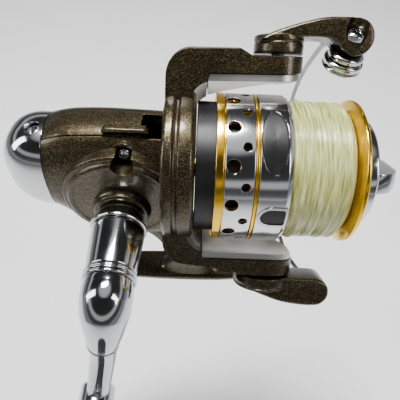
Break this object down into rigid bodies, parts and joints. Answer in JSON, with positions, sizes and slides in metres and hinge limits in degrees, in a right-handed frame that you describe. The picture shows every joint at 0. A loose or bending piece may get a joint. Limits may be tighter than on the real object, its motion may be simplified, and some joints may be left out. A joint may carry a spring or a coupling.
{
  "type": "spinning reel",
  "caption": "Front-drag spinning reel: rod foot and leg, body with side crank, rotor with folding bail and line roller, sliding spool of line and drag knob.",
  "frame": {"origin": "centre of the foot's flat face, which lies on the rod", "axes": "+X along the main shaft towards the spool's nose, +Z from the foot up to the shaft, -Y towards the handle"},
  "size_m": [0.1382, 0.159, 0.1191],
  "materials": {
    "bronze_paint": "dark bronze metallic paint, satin gloss",
    "chrome": "polished chrome plate",
    "steel": "plain machined steel",
    "brass": "machined brass",
    "gold_anodised": "bright gold anodised aluminium",
    "silver_aluminium": "turned and polished silver aluminium",
    "black_plastic": "black moulded plastic, satin",
    "knob_plastic": "black soft-touch plastic",
    "nylon_line": "wound pale yellow-green monofilament"
  },
  "bodies": {
    "body": {"reel_body": "bronze_paint", "side_cover": "bronze_paint", "rear_cap": "chrome", "rear_cap_screw": "chrome", "side_cover_screw_1": "chrome", "side_cover_screw_2": "chrome", "drive_bearing_near": "steel", "drive_bearing_far": "steel", "pinion_bearing": "steel", "anti_reverse_clutch": "brass", "guide_rod_plate": "steel", "slider_guide_rod": "steel", "oscillation_gear_post": "steel"},
    "switch": {"anti_reverse_switch": "bronze_paint"},
    "crank": {"drive_shaft": "steel", "drive_gear": "brass", "oscillation_pinion": "steel", "handle_hub": "chrome", "handle_sleeve": "chrome", "handle_collar": "chrome", "handle_arm": "chrome", "knob_spindle": "steel", "handle_screw_cap": "chrome"},
    "knob": {"handle_knob": "knob_plastic", "knob_collar": "chrome"},
    "oscillation": {"oscillation_gear": "brass"},
    "shaft": {"main_shaft": "steel", "oscillation_slider": "brass", "spool_seat": "black_plastic"},
    "spool": {"spool_body": "gold_anodised", "skirt_rear_ring": "gold_anodised", "spool_skirt": "silver_aluminium", "skirt_trim_ring": "gold_anodised", "skirt_front_band": "silver_aluminium", "spool_badge": "black_plastic", "line_clip": "black_plastic", "fishing_line": "nylon_line", "spool_lip": "gold_anodised", "drag_washer_rear": "black_plastic", "drag_washer_middle": "steel", "drag_washer_front": "black_plastic", "click_gear": "brass"},
    "drag_knob": {"drag_knob": "silver_aluminium", "drag_knob_grip": "chrome", "drag_spring": "steel"},
    "rotor": {"rotor": "bronze_paint", "arm_cover_upper": "bronze_paint", "arm_cover_lower": "bronze_paint", "bail_spring": "steel", "bail_pivot_pin_upper": "steel", "bail_pivot_pin_lower": "steel", "pinion_gear": "brass", "rotor_nut": "steel", "rotor_cup": "black_plastic"},
    "bail": {"bail_arm_upper": "bronze_paint", "bail_arm_lower": "bronze_paint", "roller_collar": "chrome", "roller_screw": "chrome", "bail_wire": "steel"},
    "line_roller": {"line_roller": "chrome"}
  },
  "joints": [
    {"name": "crank_turn", "type": "hinge", "parent": "body", "child": "crank", "pos_m": [-0.0179, 0, 0.067], "axis": [0, 1, 0], "continuous": true},
    {"name": "rotor_turn", "type": "hinge", "parent": "body", "child": "rotor", "pos_m": [0, 0, 0.074], "axis": [1, 0, 0], "continuous": true},
    {"name": "oscillation_turn", "type": "hinge", "parent": "body", "child": "oscillation", "pos_m": [-0.0327, 0, 0.0676], "axis": [0, 1, 0], "continuous": true},
    {"name": "spool_oscillation", "type": "slide", "parent": "body", "child": "shaft", "axis": [1, 0, 0], "range_m": [-0.002, 0.016]},
    {"name": "spool_drag_turn", "type": "hinge", "parent": "shaft", "child": "spool", "pos_m": [0, 0, 0.074], "axis": [1, 0, 0], "continuous": true},
    {"name": "drag_knob_turn", "type": "hinge", "parent": "shaft", "child": "drag_knob", "pos_m": [0, 0, 0.074], "axis": [1, 0, 0], "range_deg": [-180, 360]},
    {"name": "bail_open", "type": "hinge", "parent": "rotor", "child": "bail", "pos_m": [0.034, 0, 0.074], "axis": [0, -0.6157, -0.788], "range_deg": [0, 115]},
    {"name": "roller_turn", "type": "hinge", "parent": "bail", "child": "line_roller", "pos_m": [0.0576, 0.02287, 0.11578], "axis": [-0.1201, -0.0136, -0.9927], "continuous": true},
    {"name": "knob_turn", "type": "hinge", "parent": "crank", "child": "knob", "pos_m": [-0.0232, -0.069, 0.0305], "axis": [0, -1, 0], "continuous": true},
    {"name": "switch_slide", "type": "slide", "parent": "body", "child": "switch", "axis": [1, 0, 0], "range_m": [-0.003, 0]}
  ],
  "couplings": [
    {"joint": "rotor_turn", "follows": "crank_turn", "ratio": -5},
    {"joint": "oscillation_turn", "follows": "crank_turn", "ratio": -0.71429}
  ]
}
